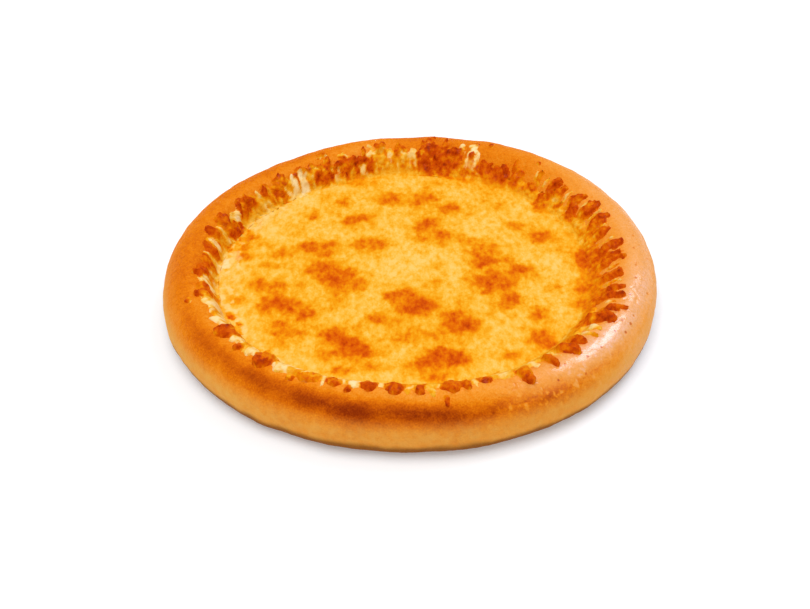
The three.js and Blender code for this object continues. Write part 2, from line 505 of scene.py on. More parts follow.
@dataclass(frozen=True)
class MeltedCheese:
    """Mozzarella melted and toasted: yellow and a little oily, with brown blistered spots.

    The toast field carries how far each place has browned, and fine noise breaks it into blisters.
    The cream field says where the cheese stayed pale, and the oil field where drops of oil shine.
    """

    roughness: float = 0.5
    specular: float = 0.02
    oil_roughness: float = 0.2
    # Size in millimetres and strength of the mottling, the speckles and the finest flecks.
    grains: tuple[tuple[float, float], ...] = ((8.5, 0.3), (3.5, 0.84), (1.1, 0.26))
    grain_detail: float = 4.0
    grain_stretch: float = 0.62
    blister_size: float = 2.6
    blister_middle: float = 0.42
    blister_toast: float = 0.25
    blister_depth: float = -0.5
    least_cream: float = 0.18
    full_cream: float = 0.8
    drop_edge: float = 0.56
    drop_core: float = 0.64
    bump_height: float = 0.6
    bump_of_speckle: float = 1.5
    bump_strength: float = 0.4
    bump_of_oil: float = 0.7
    toast_colours: Ramp = (
        (0.0, "#F5C868"), (0.12, "#F5BD4B"), (0.24, "#F3AE28"), (0.36, "#F09B0A"), (0.47, "#EB8602"),
        (0.6, "#E06B00"), (0.75, "#D15000"), (0.88, "#B83C00"), (1.0, "#9A2C00"),
    )
    cream: str = "#FDE0A4"

    def make(self) -> Material:
        """Builds the material, which reads the cheese's three fields and object coordinates.

        Returns:
            The material.
        """
        material, tree, shader = new_material("melted_toasted_mozzarella")
        add = partial(add_node, tree)
        whole = add("TexCoord", output="Object")
        place = add("Mapping", {"Vector": whole, "Scale": (1.0, self.grain_stretch, 1.0)})
        fields = ("toast", "cream", "oil")
        toast, cream, oil = (add("Attribute", output="Fac", attribute_name=f) for f in fields)
        blister = add("TexVoronoi", {"Vector": place, "Scale": 1 / (self.blister_size * MM)}, "Distance")
        swing = add("Math", {0: blister, 1: self.blister_middle}, operation="SUBTRACT")
        patchy = add("Math", {0: swing, 1: self.blister_toast, 2: 1.0}, operation="MULTIPLY_ADD")
        blistered = add("Math", {0: toast, 1: patchy}, operation="MULTIPLY")
        browning, (_, speckle, fine) = add_grain(tree, place, blistered, self.grains, self.grain_detail)
        colour = add("ValToRGB", {"Fac": browning}, "Color", self.toast_colours)
        palest = add("MapRange", {"Value": cream, 1: self.least_cream, 2: self.full_cream})
        drop = add("MapRange", {"Value": speckle, 1: self.drop_edge, 2: self.drop_core})
        relief = add("Math", {0: speckle, 1: self.bump_of_speckle, 2: fine}, operation="MULTIPLY_ADD")
        bubbled = add("Math", {0: blister, 1: self.blister_depth, 2: relief}, operation="MULTIPLY_ADD")
        strength = {0: oil, 1: self.bump_of_oil, 2: self.bump_strength}
        strength = add("Math", strength, operation="MULTIPLY_ADD")
        height = {"Height": bubbled, "Strength": strength, "Distance": self.bump_height * MM}
        normal = add("Bump", height)
        looks = {
            "Base Color": add("Mix", {0: palest, 6: colour, 7: linear(self.cream)}, 2, data_type="RGBA"),
            "Roughness": self.roughness,
            "Specular IOR Level": self.specular,
            "Normal": normal,
            "Coat Weight": add("Math", {0: drop, 1: oil}, operation="MULTIPLY"),
            "Coat Roughness": self.oil_roughness,
            "Coat Normal": normal,
        }
        set_inputs(tree, shader, looks)
        return material


@dataclass
class Crust:
    """The dough: bed, inner slope, crest, round outer wall and flat underside in one skin.

    A turn is the angle round the section in degrees: -60 at the inner slope's foot, 0 at the crest,
    90 at the widest and 180 underneath.
    """

    form: PizzaForm
    noise: GradientNoise
    finish: BakedDough = BakedDough()
    azimuth_steps: int = 900
    # Quads along the bed, the inner slope, the outer shoulder, the lower wall and the underside.
    steps: tuple[int, ...] = (4, 24, 40, 16, 3)
    slope_turn: float = 60.0
    swells: Ripple = Ripple(22, 2, 0.5)
    dimples: Ripple = Ripple(4, 2, 0.13)
    glaze_filling: float = 0.85
    # Creases follow the places where their noise is near 0.
    creases: Ripple = Ripple(12, 2, shift=23)
    crease_width: float = 0.07
    crease_depth: float = 0.35
    bake_wander: Ripple = Ripple(32, 2)
    # A browner band runs outside the crest, in streaks.
    band_width: float = 20.0
    streaks: Ripple = Ripple(14, 3, squash=3.0)
    # The glazed band on the crest is painted paler and pinker: a painted highlight beside the coat's gloss.
    painted_highlight_paling: float = 0.14
    # Pale upright flecks break the band at the front, and its streaks are stronger there.
    flecks: Ripple = Ripple(2.8, 2, shift=3, squash=0.45)
    fleck_azimuth: float = 304.0
    fleck_turn: float = 50.0
    fleck_paling: float = 0.36
    flour_grain: Ripple = Ripple(4, 3, 0.22, shift=9)
    shaded_heel_wander: Ripple = Ripple(12, 2, 5.0)
    # How brown the crest and the outer wall are, what the inner slope and the band add, and the turn at
    # which the band runs. The crest and the wall are paler on the right, partly a paler bake and partly
    # painted light from the right, and the inner slope at the back is made paler with painted light.
    crest_bake_and_light: Rim = Rim((
        (0, 0.3), (30, 0.3), (45, 0.36), (60, 0.5), (90, 0.57), (105, 0.46), (120, 0.56), (150, 0.54),
        (180, 0.55), (205, 0.45), (225, 0.43), (250, 0.39), (275, 0.34), (300, 0.37), (315, 0.24),
        (330, 0.22), (345, 0.26),
    ))
    wall_bake_and_light: Rim = Rim((
        (0, 0.15), (40, 0.2), (90, 0.5), (180, 0.42), (225, 0.48), (270, 0.5), (300, 0.42), (318, 0.22),
        (332, 0.13), (345, 0.1),
    ))
    inner_bake_and_light: Rim = Rim((
        (0, 0.06), (40, 0.03), (75, 0.03), (100, -0.07), (150, -0.07), (185, 0.03), (300, 0.06),
    ))
    band_bake: Rim = Rim((
        (0, 0), (170, 0), (195, 0.1), (210, 0.18), (225, 0.24), (240, 0.38), (255, 0.45),
        (268, 0.45), (285, 0.32), (300, 0.22), (315, 0.18), (330, 0.12), (345, 0.06),
    ))
    band_turn: Rim = Rim((
        (0, 60), (180, 20), (210, 27), (225, 29), (240, 35), (255, 39), (270, 43), (285, 49), (300, 55),
    ))
    # How much oil, flour and how many creases there are, from 0 to 1.
    glazing: Rim = Rim((
        (0, 0.5), (30, 0.3), (60, 0.05), (80, 0), (285, 0), (306, 0.7), (320, 1), (345, 0.9),
    ))
    flouring: Rim = Rim((
        (0, 0.36), (40, 0.5), (100, 0.66), (180, 0.76), (220, 0.76), (250, 0.56), (300, 0.52),
        (325, 0.4),
    ))
    creasing: Rim = Rim(((0, 0.5), (60, 0.15), (200, 0.1), (270, 0.2), (300, 1), (335, 0.9)))

    def section(self, station: Array, azimuth: Array) -> tuple[Array, Array, Array]:
        """Places each station of the section.

        Args:
            station: Station of each vertex, counted from the middle of the bed.
            azimuth: Azimuth of each vertex.

        Returns:
            Radius, height and turn of each vertex.
        """
        form = self.form
        crest, foot = form.crest_radius(azimuth), form.slope_foot(azimuth)
        widest = crest + form.crest_inset
        height = form.crest_height(azimuth)
        start = np.cumsum((0, *self.steps))
        bed, slope, shoulder, lower, under = (
            np.clip((station - first) / steps, 0, 1) for first, steps in zip(start, self.steps)
        )
        shoulder, lower = shoulder * np.pi / 2, lower * np.pi / 2
        radius = np.select(
            [station <= start[1], station <= start[2], station <= start[3]],
            [foot * bed, foot + (crest - foot) * slope, crest + form.crest_inset * np.sin(shoulder)],
            (widest - form.foot_inset * (1 - np.cos(lower))) * (1 - under),
        )
        rise = form.widest_height * (1 - np.sin(lower))
        upper = form.widest_height + (height - form.widest_height) * np.cos(shoulder)
        level = np.select(
            [station <= start[2], station <= start[3]], [form.top_height(azimuth, radius), upper], rise
        )
        turn = np.degrees(shoulder + lower) - np.where(station < start[2], (1 - slope) * self.slope_turn, 0)
        return radius, level, turn

    def baking(self, azimuth: Array, turn: Array, points: Array) -> Array:
        """Says how brown each place of the skin is.

        Args:
            azimuth: Azimuth of each vertex.
            turn: Turn of each vertex.
            points: Place of each vertex.

        Returns:
            The bake, from 0 for pale to 1 for dark.
        """
        wander = self.bake_wander.at(self.noise, points)
        down = smooth(5, 70, turn + 6 * wander)
        # Painted light: the right side and the back inner slope are paler in these tables.
        skin = self.crest_bake_and_light.at(azimuth) * (1 - down) + self.wall_bake_and_light.at(azimuth) * down
        skin += self.inner_bake_and_light.at(azimuth) * smooth(2, -12, turn)
        # Painted highlight: the glazed band on the crest is made paler.
        skin -= self.painted_highlight_paling * self.glazing.at(azimuth) * within(turn, (-10, 6, 30, 48))
        flecked = bell(turn_between(azimuth, self.fleck_azimuth), 0, 16)
        flecked *= bell(turn, self.fleck_turn, 22)
        skin -= self.fleck_paling * flecked * smooth(0.2, 0.55, self.flecks.at(self.noise, points))
        streaks = (0.3 + 0.5 * flecked) * self.streaks.at(self.noise, points)
        band = bell(turn, self.band_turn.at(azimuth) + 4 * wander, self.band_width)
        band *= self.band_bake.at(azimuth) * (1 + streaks)
        return skin + band + 0.05 * wander

    def build(self) -> Object:
        """Builds and dresses the crust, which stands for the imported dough.

        Returns:
            The crust.
        """
        noise = self.noise
        shape = bmesh.new()
        stations = sum(self.steps)
        bmesh.ops.create_grid(shape, x_segments=self.azimuth_steps, y_segments=stations, size=1.0)
        grid = np.array([vertex.co for vertex in shape.verts])
        azimuth = np.round((grid[:, 0] + 1) / 2 * self.azimuth_steps) * 360 / self.azimuth_steps
        station = np.round((grid[:, 1] + 1) / 2 * stations)
        radius, level, turn = self.section(station, azimuth)
        ring = spokes(azimuth)
        points = ring * radius[:, None]
        points[:, 2] = level
        glaze = self.glazing.at(azimuth) * within(turn, (-20, 0, 35, 60))
        crease = self.creasing.at(azimuth) * within(turn, (-15, 0, 35, 75))
        crease *= smooth(self.crease_width, 0.0, np.abs(self.creases.at(noise, points)))
        bake = self.baking(azimuth, turn, points) + 0.1 * crease
        dimples = (1 - self.glaze_filling * glaze) * self.dimples.at(noise, points)
        uneven = self.swells.at(noise, points) + dimples - self.crease_depth * crease
        uneven *= within(turn, (-55, -20, 150, 175))
        outward = np.sin(np.radians(np.minimum(turn, 170)))
        points += ring * (outward * uneven)[:, None]
        points[:, 2] += uneven * np.cos(np.radians(turn))
        points[:, 2] = np.where(turn >= 179, 0, np.maximum(points[:, 2], 0))
        place_vertices(shape, points)
        seam = np.flatnonzero((azimuth == 0) | (azimuth == 360) | (station == 0) | (station == stations))
        flour = self.flouring.at(azimuth) + self.flour_grain.at(noise, points)
        fields = {
            "bake": bake,
            "glaze": glaze,
            "flour": smooth(50, 85, turn) * flour,
            # The bottom edge darkens: partly tray browning, partly painted shade.
            "shaded_heel": smooth(97, 120, turn + self.shaded_heel_wander.at(noise, points)),
        }
        piece = finish_mesh("crust", shape, fields, seam)
        piece.data.materials.append(self.finish.make())
        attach(piece, BODY)
        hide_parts("dough")
        return piece


@dataclass(frozen=True)
class Crag:
    """A lump of cheese that runs up the rim, browned, or pale where its brown is below 0.

    The azimuth and the half width are degrees. The inner and the tip radius and the lift are
    millimetres.
    """

    azimuth: float
    half_width: float
    inner: float
    tip: float
    lift: float
    brown: float


@dataclass(frozen=True)
class Spot:
    """A toasted spot on the flat cheese: middle, half sizes and how brown.

    Where its brown is below 0 it is a wide area that is a little paler.
    """

    x: float
    y: float
    half_x: float
    half_y: float
    brown: float


CRAGS = tuple(Crag(*row) for row in (
    (1, 1.8, 101, 118.5, 1.8, 0.65), (5, 2.1, 101, 121.5, 2.2, 0.75), (4, 3.6, 93, 112, 0.6, 0.5),
    (8.4, 0.7, 106, 119, 1.6, -0.38), (12.8, 2.4, 102, 118, 2, 0.7), (18, 2.5, 103, 121, 2.4, 0.75),
    (15.5, 0.6, 109, 118, 1.8, -0.38), (21.5, 0.6, 108, 120, 1.8, -0.38), (24.7, 2.3, 104, 123, 2.6, 0.85),
    (27.2, 0.6, 110, 119, 1.8, -0.38), (29, 2.4, 102, 112.5, 1.8, 0.75), (31, 2, 105, 120.5, 2.4, 0.8),
    (34.8, 0.8, 107, 118, 1.6, -0.38), (35, 1.4, 103, 110.5, 1, 0.5), (37.8, 1.7, 105, 118.5, 1.8, 0.65),
    (41, 2.1, 103, 120.5, 2.6, 0.8), (42, 2.4, 100, 110, 1.6, 0.65), (44.4, 0.6, 109, 118, 1.6, -0.38),
    (46.9, 0.9, 110, 119.5, 1.8, 0.6), (48.4, 0.8, 111, 117.5, 1.8, -0.38), (48, 2.6, 104, 112.5, 1.4, 0.6),
    (54, 3, 104, 115, 1.6, 0.7), (56.5, 0.9, 110, 120, 1.4, 0.5), (60, 3.4, 103.5, 115.5, 2, 0.85),
    (65.5, 3, 104.5, 115, 1.6, 0.7), (62.5, 0.7, 110, 115, 1.8, -0.5), (65.3, 0.6, 110, 114.5, 1.8, -0.5),
    (53.5, 0.6, 111, 116, 1.6, -0.3), (70.7, 2.4, 106, 124.5, 2.2, -0.9),
    (71.2, 0.9, 109.5, 117, 2.8, 0.85), (74.8, 1.6, 113, 124, 1.6, -0.6), (77, 2.8, 105, 119, 2.6, 0.85),
    (81, 4.2, 103.5, 119, 2.6, 0.85), (86, 2.6, 104, 119.5, 2.6, 0.85), (82, 6.5, 98, 110, 1, 0.65),
    (79.5, 1.2, 113, 125.5, 2.4, 0.8), (83.7, 1.7, 113, 127.5, 2.2, 0.8),
    (86.2, 1.1, 114, 122.5, 2.2, 0.75), (71, 1.2, 120, 126, 1.4, 0.85), (66.7, 0.8, 123, 128, 1.1, 0.8),
    (50.5, 0.7, 121, 124.5, 0.9, 0.75), (89.8, 1.6, 106, 118, 1.8, -0.4), (93.8, 1.9, 108, 119.5, 2.4, 0.7),
    (96.8, 1.2, 107, 117, 1.8, -0.5), (99.3, 2, 110, 122, 2.4, 0.65), (102.6, 1.5, 109, 118.5, 1.8, -0.7),
    (104.8, 0.9, 110, 118.5, 2.4, 0.85), (106, 3.4, 103, 113, 2.6, 0.9),
    (111.8, 1.2, 110, 117.5, 1.8, -0.4), (110.5, 2.2, 105, 114.5, 2.6, 0.85),
    (114, 2.2, 105, 113.5, 2.6, 0.85), (118.3, 2.4, 106, 114.5, 2.6, 0.85), (120, 4.2, 101, 110, 1.8, 0.65),
    (118, 1.9, 114, 121, 1.8, 0.8), (123, 2, 106, 114.5, 1.8, 0.45),
    (127.5, 2.8, 108.5, 115.5, 2, 0.75), (127.6, 1.7, 102, 113, 1.8, -0.95),
    (131.2, 1.9, 100.5, 112, 1.8, -0.9), (129.6, 0.6, 106, 112.5, 1.8, 0.6),
    (135.5, 3.4, 106, 116.5, 2.4, 0.7), (137.5, 2.8, 97, 111, 1.2, 0.6), (142, 2.8, 106, 114, 2.6, 0.85),
    (145, 1, 109, 116, 1.8, -0.4), (149, 2.2, 107, 116.5, 2.4, 0.75), (152.8, 2.4, 106, 116.5, 2.2, 0.75),
    (149, 5, 96, 108, 0.8, -0.35), (157.6, 1.7, 108, 116, 2.2, -0.8), (160, 4, 102, 111.5, 2.2, 0.8),
    (163, 2.8, 108, 119.5, 2.6, 0.8), (166.2, 0.7, 110, 117, 1.8, -0.5), (167.5, 3, 103, 111, 1.8, 0.65),
    (169.3, 2.4, 109, 121, 2.4, 0.8), (172.6, 0.8, 110, 118, 2, -0.7), (175.5, 2.6, 109, 119, 2.2, 0.7),
    (177, 4.6, 101, 110.5, 1.4, -0.7), (178.6, 0.6, 110, 117, 2, -0.5), (181.5, 2.6, 109, 119, 2.4, 0.75),
    (186.3, 3.4, 108, 121, 2.6, 0.8), (189.2, 1.4, 112, 123, 2.4, 0.8), (191.4, 0.9, 110, 121, 2, -0.7),
    (195.3, 3.2, 108, 121.5, 2.4, 0.7), (198.8, 1.6, 112, 125, 2.4, 0.85),
    (202.5, 1.8, 109, 122.5, 2, -0.6), (200.5, 1.1, 126.5, 131, 1.2, 0.85),
    (206.6, 2.2, 109, 122, 1.8, 0.25), (203.5, 2.4, 103, 109.5, 1.2, 0.65),
    (208, 1, 103.5, 108, 1, 0.6), (210.6, 1.8, 108, 124.5, 2.2, -0.65),
    (211, 2.6, 105, 113.5, 1.4, 0.5), (216.6, 3.4, 107, 128.5, 3.4, 0.85),
    (220.8, 1.1, 111, 125.5, 2.2, -0.6), (221.5, 1.2, 106, 112, 1.2, 0.65),
    (224, 0.7, 104, 108.5, 1, 0.6), (235, 1, 106, 111, 1.2, 0.6), (223.4, 1.3, 113, 128.5, 2.2, 0.7),
    (226.8, 1.6, 109, 127, 2.4, -0.65), (227, 2.8, 102, 114, 2.2, 0.75), (231.6, 3.1, 107, 129.5, 3.6, 0.9),
    (236.6, 2, 107, 127, 2.6, -0.75), (240.6, 1.1, 123, 128.5, 1.8, 0.8),
    (244.3, 3.8, 108, 127, 1.8, 0.45), (248.6, 0.9, 111, 126, 2.2, -0.5), (251, 2.2, 112, 125.2, 2, 0.7),
    (254.8, 0.9, 120, 128, 2, 0.8), (255.4, 1.7, 107, 124, 2.2, -0.9),
    (259.6, 2.5, 109.5, 124.8, 2.5, 0.85), (265.6, 2.8, 109, 125.4, 2.8, 0.85),
    (268.9, 0.9, 110, 125, 1.8, -0.4), (271.7, 1.4, 113, 125, 2.2, 0.8), (274.6, 1.3, 110, 126, 1.6, -0.12),
    (277.5, 0.8, 123, 132, 1.1, 0.85), (279.2, 3, 107, 125, 2.6, 0.8), (283, 1.5, 110, 124, 2.8, 0.8),
    (285.4, 0.9, 109, 123, 1.6, -0.4), (288, 2.2, 109, 122.2, 2.2, 0.85), (292.6, 2.4, 107, 122, 1, -0.4),
    (297.8, 2, 110, 130, 3, 0.8), (302, 1.6, 106, 121, 1.2, -0.5), (306, 1.8, 107, 126, 2.6, 0.75),
    (309, 0.9, 107, 121, 1.2, -0.5), (312.6, 2.3, 103, 126.5, 3, 0.85), (317.3, 2, 104, 123, 2.6, 0.8),
    (321.3, 1, 107, 123.5, 1.8, -0.6), (321.3, 0.6, 117, 124, 1.8, 0.7),
    (329.6, 3.3, 97, 125.5, 3, 0.9), (324.6, 1.4, 106, 122, 2, -0.6), (334, 1.2, 109, 123, 2.4, 0.8),
    (335.6, 0.8, 114, 126.5, 1.6, 0.7), (337.5, 0.8, 107, 120, 1.8, -0.5),
    (340.3, 1.9, 99, 121.5, 2.2, 0.8), (344.3, 1.8, 103, 121.5, 2.2, 0.75),
    (347.6, 1, 104, 119, 1.8, -0.5), (351.3, 2.6, 99, 118.5, 2, 0.7), (355.2, 0.7, 105, 117, 1.8, -0.4),
    (358.4, 1.8, 97, 119.5, 2, 0.7),
))

SPOTS = tuple(Spot(*row) for row in (
    (-14.5, 74.5, 11, 8, 0.7), (-42, 73, 5.5, 6, 0.45), (-40.5, 69.5, 3, 3, 0.5), (-59, 57.5, 5, 6, 0.55),
    (-35.5, 52, 8, 6.5, 0.65), (-27, 55, 6, 6, 0.5), (-30, 26, 6, 7, 0.6), (-20.5, 25.5, 7, 9, 0.65),
    (-60, 24, 8, 7, 0.7), (-50, 18.5, 7.5, 7, 0.7), (-74, 17, 7.5, 6, 0.55), (-46, 26, 5, 4.5, 0.4),
    (-97, 14, 5, 6, 0.6), (-93, 34, 5, 5.5, 0.8), (-97, 23, 4, 5.5, 0.6), (-82, 4.5, 7, 4.5, 0.35),
    (-68, 43, 9, 8, 0.2), (-49, 64.5, 4, 4, 0.3), (-54, 77, 8, 5, 0.25), (-85, 28, 4, 5, 0.3),
    (-25, 92, 8, 6, 0.25), (-34, 95, 5, 6, 0.4), (9.5, 77, 8, 7.5, 0.75), (3, 70, 5.5, 5.5, 0.5),
    (22.5, 65, 8, 6.5, 0.75), (10, 49, 7.5, 8, 0.7), (5, 42, 5.5, 5.5, 0.6), (19, 36, 6.5, 7, 0.75),
    (6, 32, 6, 5, 0.55), (17, 29, 5.5, 5, 0.35), (42, 22, 12, 9, 0.5), (45, 11, 7.5, 5.5, 0.75),
    (39, 6, 5.5, 4.5, 0.8), (37, 17, 5, 6, 0.4), (55, 10, 4.5, 4.5, 0.45), (62, 1.5, 8, 5.5, 0.75),
    (62, 45, 8, 6, 0.5), (75.5, 34.5, 8.5, 8, 0.75), (52, 66, 4.5, 4.5, 0.4), (77.5, 65, 5.5, 7.5, 0.55),
    (86, 22, 4.5, 5, 0.35), (34, 58, 5, 5, 0.3), (32, 31, 10, 4.5, 0.4), (15, 4, 4.5, 4.5, 0.35),
    (6, 19, 4, 3, 0.25), (98, 8, 6, 10, 0.75), (47, 79, 12, 14, 0.22), (30, 94, 12, 6, 0.25),
    (12, 92, 8, 6, 0.2), (-86, -13, 6.5, 6, 0.7), (-76, -16, 5.5, 8.5, 0.5), (-54, -1, 8.5, 5.5, 0.65),
    (-47, -6, 7.5, 7.5, 0.75), (-42, -12, 6.5, 7.5, 0.7), (-37, -2, 8, 6.5, 0.6), (-50, 5, 7, 5.5, 0.6),
    (-30, -13, 6.5, 7.5, 0.6), (-42, -22, 4.5, 5.5, 0.4), (-43, -31, 6.5, 5.5, 0.4),
    (-77, -29, 8.5, 8, 0.65), (-67, -34, 8.5, 8.5, 0.7), (-81, -36, 5.5, 5.5, 0.55),
    (-58, -42, 6.5, 7.5, 0.75), (-71, -50, 5.5, 4.5, 0.65), (-72, -57, 8.5, 5.5, 0.5),
    (-61, -58, 5.5, 5.5, 0.45), (-71, -66, 6.5, 5.5, 0.4), (-43, -60, 8.5, 8.5, 0.75),
    (-34, -67, 8.5, 8.5, 0.8), (-26, -74, 6.5, 7, 0.8), (-37, -76, 6.5, 5.5, 0.6),
    (-46, -77, 6.5, 5.5, 0.45), (-22, -86, 6.5, 5, 0.4), (-37, -90, 7.5, 4.5, 0.55),
    (-19, -45, 6.5, 5.5, 0.65), (-9, -49, 6, 6, 0.3), (-27, -53, 6, 4, 0.2), (-6, -62, 6.5, 6, 0.55),
    (-12, -25, 5, 5, 0.7), (-4, -23, 6.5, 8, 0.7), (-3, -37, 6.5, 6.5, 0.8), (-97, -28, 5, 5, 0.5),
    (-15, -73, 6, 5, 0.25), (-62, -14, 5, 5, 0.3), (4, -30, 7.5, 7.5, 0.7), (10, -33, 6.5, 5.5, 0.7),
    (3, -38, 6.5, 5.5, 0.75), (14, -12, 7.5, 5.5, 0.35), (29, -28, 5.5, 5.5, 0.3), (46, -6, 5.5, 7.5, 0.8),
    (42, -13, 6.5, 7.5, 0.75), (35, -9, 6, 8, 0.45), (51, -16, 5.5, 6.5, 0.65), (57, -8, 5.5, 8.5, 0.6),
    (67, -4, 6, 6, 0.4), (41, -21, 3.5, 3.5, 0.5), (55, -26, 6.5, 7, 0.8), (59, -31, 3.5, 3.5, 0.5),
    (49, -35, 6.5, 6.5, 0.5), (79, -16, 5.5, 6.5, 0.35), (97, -16, 6.5, 8, 0.7), (93, -33, 6.5, 6.5, 0.5),
    (69, -43, 5, 5.5, 0.75), (70, -36, 4.5, 5.5, 0.4), (23, -42, 7.5, 6.5, 0.65), (30, -52, 7.5, 7.5, 0.85),
    (22, -52, 7.5, 7.5, 0.7), (5, -57, 7.5, 6.5, 0.4), (14, -60, 6, 4, 0.3), (69, -60, 8, 7.5, 0.65),
    (72, -68, 7, 5.5, 0.65), (14, -79, 10, 8.5, 0.7), (24, -81, 7.5, 7.5, 0.8), (5, -85, 8.5, 6.5, 0.75),
    (18, -74, 7.5, 4.5, 0.6), (13, -95, 7.5, 4.5, 0.65), (52, -77, 6.5, 6.5, 0.55), (100, 14, 6, 8, 0.6),
    (4, 8, 24, 22, -0.04), (36, 34, 26, 14, -0.04), (62, -6, 30, 20, -0.04), (-66, 82, 12, 16, -0.12),
    (-88, 38, 10, 10, -0.1), (-22, 74, 60, 10, -0.03),
))


@dataclass
class CheeseLayer:
    """The melted cheese: a flat toasted top whose edge climbs the rim and breaks into crags.

    Its thickness is measured from the dough, and where there is none it lies sunk below it. Along a
    crag means from 0 at its inner end to 1 at its tip, and across it from -1 to 1.
    """

    form: PizzaForm
    noise: GradientNoise
    finish: MeltedCheese = MeltedCheese()
    rings: int = 146
    flat_rings: int = 72
    flat_radius: float = 95.0
    edge_radius: float = 132.0
    film: float = 1.3
    film_wander: Ripple = Ripple(7, 3, 2.4, shift=5)
    sunk: float = 0.9
    level_blend: float = 3.4
    level_swells: tuple[Ripple, ...] = (Ripple(30, 2, 0.45), Ripple(7, 3, 0.22))
    # Radii of the underside's rings, from the edge inwards.
    hidden_radii: tuple[float, ...] = (126, 120, 115, 111, 108, 104, 96)
    # The slope is crumpled, and the noise of the crumples also colours it: the ridges are paler and creamier
    # with painted light, and the hollows browner with painted shade.
    crumples: Ripple = Ripple(5.0, 3, shift=71)
    crumple_height: float = 1.6
    foot_swells: Ripple = Ripple(12, 2, shift=61)
    foot_width: float = 7.0
    side_wander: tuple[Ripple, Ripple] = (Ripple(7, 3, 2.6), Ripple(2.8, 1, 0.7, shift=7))
    tip_wander: tuple[Ripple, Ripple] = (Ripple(7, 3, 2.6, shift=91), Ripple(2.8, 1, 0.7, shift=49))
    lumps: Ripple = Ripple(3.6, 3, shift=17)
    crag_margin: float = 5.0
    crag_bluntness: int = 5
    pale_lift: float = 0.5
    brown_lift: float = 1.1
    spot_wander: tuple[Ripple, Ripple] = (Ripple(6, 3, 1.3, shift=13), Ripple(6, 3, 1.6, shift=57))
    spot_halo: float = 1.35
    plain_toast: float = 0.13
    spot_toast: float = 0.64
    crag_toast: float = 0.84
    # Where the darker band at the slope's foot lies and how wide it is: partly toast, partly painted shade.
    foot_toast_and_shade_at: float = 4.0
    foot_toast_and_shade_width: float = 6.5
    cream_patches: Ripple = Ripple(5, 3, shift=29)
    drops: Ripple = Ripple(5, 2, shift=43)
    # How far the cheese between the crags climbs, from 0 at the slope's foot to 1 at the crest.
    film_reach: Rim = Rim((
        (0, 0.42), (45, 0.32), (60, 0.38), (80, 0.55), (95, 0.6), (110, 0.5), (135, 0.5), (180, 0.55),
        (205, 0.75), (225, 0.9), (245, 0.95), (290, 0.9), (320, 0.6), (340, 0.46),
    ))
    # Radius where the crumples start.
    crumple_start: Rim = Rim((
        (0, 98), (20, 101), (45, 102), (60, 107), (80, 102), (95, 107), (105, 104), (118, 103),
        (130, 105), (140, 97), (160, 97), (185, 97), (205, 102), (225, 104), (245, 111), (270, 111),
        (300, 105), (330, 101), (350, 97),
    ))
    # How pale, rough and oily the slope is, and how toasted it and the flat beside it are. The flat at the
    # slope's foot is darker, partly toasted and partly painted shade where the slope meets it.
    creaminess: Rim = Rim((
        (0, 0.1), (20, 0.25), (50, 0.15), (62, 0.05), (72, 0.6), (76, 0.25), (95, 0.55), (115, 0.5),
        (129, 0.7), (145, 0.6), (160, 0.65), (185, 0.7), (210, 0.8), (240, 0.8), (262, 0.6), (285, 0.35),
        (305, 0.15), (330, 0),
    ))
    ruggedness: Rim = Rim((
        (0, 0.65), (50, 0.8), (80, 0.95), (150, 0.9), (185, 0.6), (215, 0.28), (290, 0.28), (325, 0.55),
    ))
    oiliness: Rim = Rim((
        (0, 0.3), (60, 0.3), (90, 0.3), (150, 0.55), (190, 0.8), (230, 0.9), (275, 0.6), (325, 0.5),
    ))
    slope_toast: Rim = Rim((
        (0, 0.46), (20, 0.37), (45, 0.3), (60, 0.4), (80, 0.45), (95, 0.24), (110, 0.26), (135, 0.2),
        (160, 0.24), (185, 0.28), (215, 0.22), (240, 0.22), (270, 0.28), (300, 0.24), (320, 0.36),
        (335, 0.46),
    ))
    foot_toast_and_shade: Rim = Rim((
        (0, 0.18), (20, 0.12), (45, 0.12), (60, 0.26), (80, 0.34), (95, 0.16), (120, 0.2), (140, 0.12),
        (180, 0.06), (230, 0.06), (270, 0.12), (310, 0.05), (340, 0.12),
    ))

    def spread(self, shape: BMesh) -> tuple[Array, Array]:
        """Turns a square grid's rings into round ones.

        Args:
            shape: The grid, from -1 to 1 each way.

        Returns:
            Azimuth and radius of each vertex.
        """
        grid = np.array([vertex.co for vertex in shape.verts])
        x, y = grid[:, 0], grid[:, 1]
        reach = np.maximum(np.abs(x), np.abs(y))
        safe = np.where(reach > 0, reach, 1)
        wide = np.abs(x) >= np.abs(y)
        across = np.where(wide, y * np.sign(x), -x * np.sign(y)) / safe
        side = np.select([wide & (x > 0), wide, y > 0], [0, 180, 90], 270)
        azimuth = (side + 45 * across) % 360
        ring = np.round(reach * self.rings)
        inner = ring / self.flat_rings * self.flat_radius
        share = (ring - self.flat_rings) / (self.rings - self.flat_rings)
        outer = self.flat_radius + share * (self.edge_radius - self.flat_radius)
        return azimuth, np.where(ring <= self.flat_rings, inner, outer)

